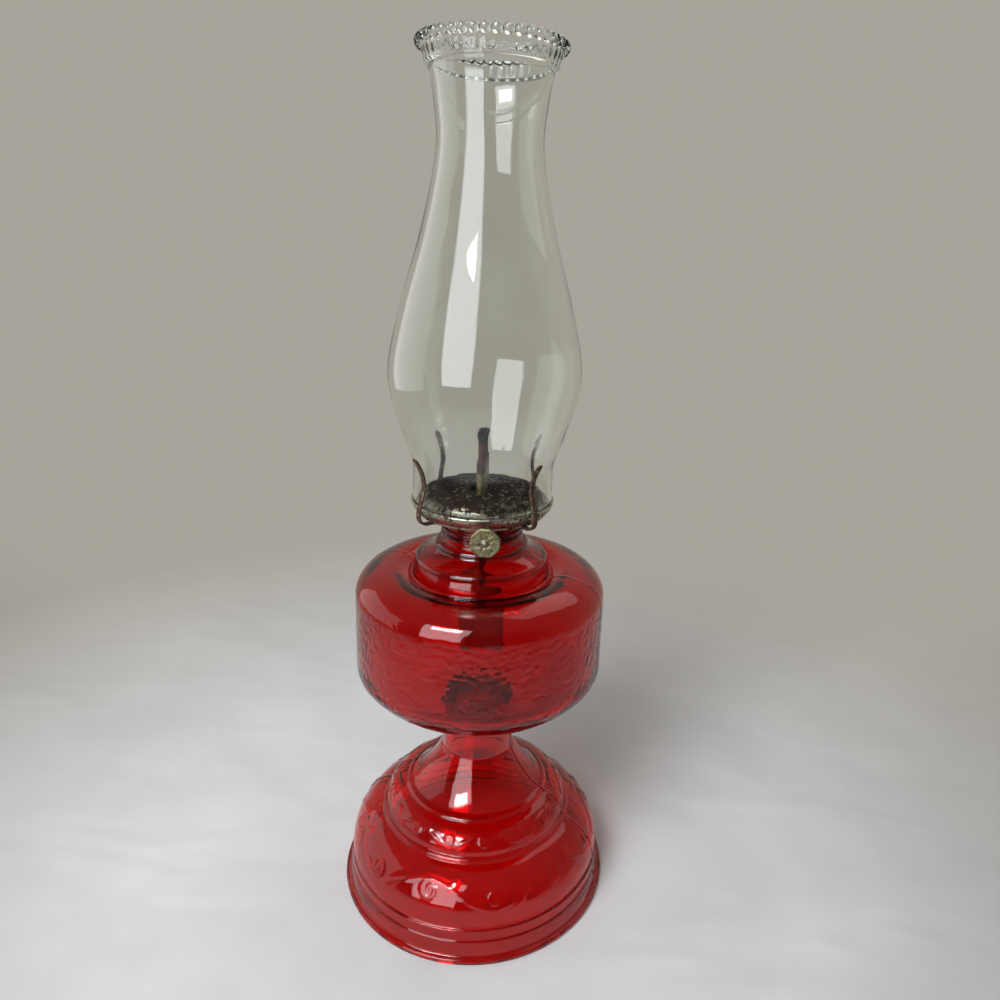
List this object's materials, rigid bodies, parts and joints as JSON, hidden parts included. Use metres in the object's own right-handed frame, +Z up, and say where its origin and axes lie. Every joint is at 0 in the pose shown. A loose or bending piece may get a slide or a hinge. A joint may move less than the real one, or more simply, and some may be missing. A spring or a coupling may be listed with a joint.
{
  "type": "oil lamp",
  "caption": "Table oil lamp: ruby pressed-glass font on a hollow pedestal foot, flat-wick screw-in burner with a winding knob, spring prongs and a tall clear glass chimney.",
  "frame": {"origin": "on the lamp's axis, at the surface it stands on", "axes": "+Z up along the lamp's axis; the wick wheel's knob faces -Y"},
  "size_m": [0.1584, 0.1584, 0.465],
  "materials": {
    "red_glass": "ruby pressed glass, glossy, hammered on the font's side",
    "clear_glass": "clear glossy glass",
    "brass": "dull aged brass",
    "steel": "dull steel",
    "tinned_steel": "tinned sheet with brown rust speckle",
    "rusty_steel": "browned and rusty steel",
    "wick_cotton": "woven cotton wick, stained and charred at the top"
  },
  "bodies": {
    "base": {"pedestal_foot": "red_glass", "font": "red_glass"},
    "burner": {"screw_collar": "brass", "burner_basket": "tinned_steel", "chimney_gallery": "tinned_steel", "air_deck": "rusty_steel", "wick_tube": "brass", "wheel_housing": "brass", "shaft_bush": "brass", "vent_tube": "brass", "prong_rivets": "rusty_steel", "chimney_prong_front_left": "rusty_steel", "chimney_prong_front_right": "rusty_steel", "chimney_prong_back_left": "rusty_steel", "chimney_prong_back_right": "rusty_steel"},
    "wick_drive": {"wick_shaft": "steel", "spur_wheels": "brass", "thumb_wheel": "brass", "thumb_wheel_rivet": "steel"},
    "wick": {"wick": "wick_cotton"},
    "chimney": {"chimney": "clear_glass"}
  },
  "joints": [
    {"name": "burner_lift", "type": "slide", "parent": "base", "child": "burner", "axis": [0, 0, 1], "range_m": [0, 0.115]},
    {"name": "wick_knob", "type": "hinge", "parent": "burner", "child": "wick_drive", "pos_m": [0.006, 0, 0.2302], "axis": [0, 1, 0], "range_deg": [-152, 152]},
    {"name": "wick_feed", "type": "slide", "parent": "burner", "child": "wick", "axis": [0, 0, 1], "range_m": [-0.0106, 0.0106]},
    {"name": "chimney_lift", "type": "slide", "parent": "burner", "child": "chimney", "axis": [0, 0, 1], "range_m": [0, 0.12]}
  ],
  "couplings": [
    {"joint": "wick_knob", "follows": "wick_feed", "rad_per_m": 250}
  ]
}
